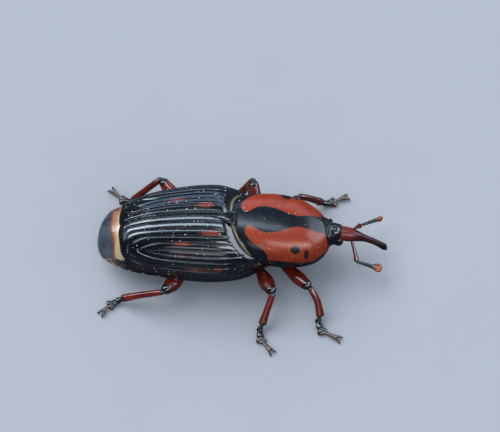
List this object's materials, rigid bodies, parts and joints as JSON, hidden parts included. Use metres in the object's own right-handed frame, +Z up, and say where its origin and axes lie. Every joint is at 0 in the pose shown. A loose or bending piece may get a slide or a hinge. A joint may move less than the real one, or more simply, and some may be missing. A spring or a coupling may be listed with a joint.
{
  "type": "palmetto weevil",
  "caption": "Life-size still model of a palmetto weevil: red and black snout beetle, ridged wing cases, bent feelers, standing on its feet.",
  "frame": {"origin": "on the floor under the middle of the insect's box", "axes": "+X to the head, +Y to the insect's left, +Z up"},
  "size_m": [0.0292, 0.0186, 0.0091],
  "materials": {
    "black_chitin": "glossy blue-black chitin with fine dust",
    "red_chitin": "satin orange-red chitin with black markings",
    "dark_red_chitin": "glossy dark red chitin with fine pits",
    "orange_chitin": "satin terracotta chitin, pale in front and black at the tip",
    "club_pile": "matte reddish short pile",
    "eye_black": "glossy black facets",
    "bristle": "fine golden bristles"
  },
  "bodies": {
    "root": {"abdomen": "black_chitin", "club_left": "club_pile", "club_right": "club_pile", "coxa_left_front": "black_chitin", "coxa_left_hind": "black_chitin", "coxa_left_middle": "black_chitin", "coxa_right_front": "black_chitin", "coxa_right_hind": "black_chitin", "coxa_right_middle": "black_chitin", "elytron_left": "black_chitin", "elytron_right": "black_chitin", "eye_left": "eye_black", "eye_right": "eye_black", "femur_left_front": "dark_red_chitin", "femur_left_hind": "dark_red_chitin", "femur_left_middle": "dark_red_chitin", "femur_right_front": "dark_red_chitin", "femur_right_hind": "dark_red_chitin", "femur_right_middle": "dark_red_chitin", "funicle_left": "dark_red_chitin", "funicle_right": "dark_red_chitin", "head": "black_chitin", "prothorax": "red_chitin", "pygidium": "orange_chitin", "rostrum": "dark_red_chitin", "scape_left": "dark_red_chitin", "scape_right": "dark_red_chitin", "scutellum": "black_chitin", "tarsus_left_front": "black_chitin", "tarsus_left_hind": "black_chitin", "tarsus_left_middle": "black_chitin", "tarsus_right_front": "black_chitin", "tarsus_right_hind": "black_chitin", "tarsus_right_middle": "black_chitin", "thorax": "black_chitin", "tibia_left_front": "dark_red_chitin", "tibia_left_hind": "dark_red_chitin", "tibia_left_middle": "dark_red_chitin", "tibia_right_front": "dark_red_chitin", "tibia_right_hind": "dark_red_chitin", "tibia_right_middle": "dark_red_chitin"}
  },
  "joints": []
}
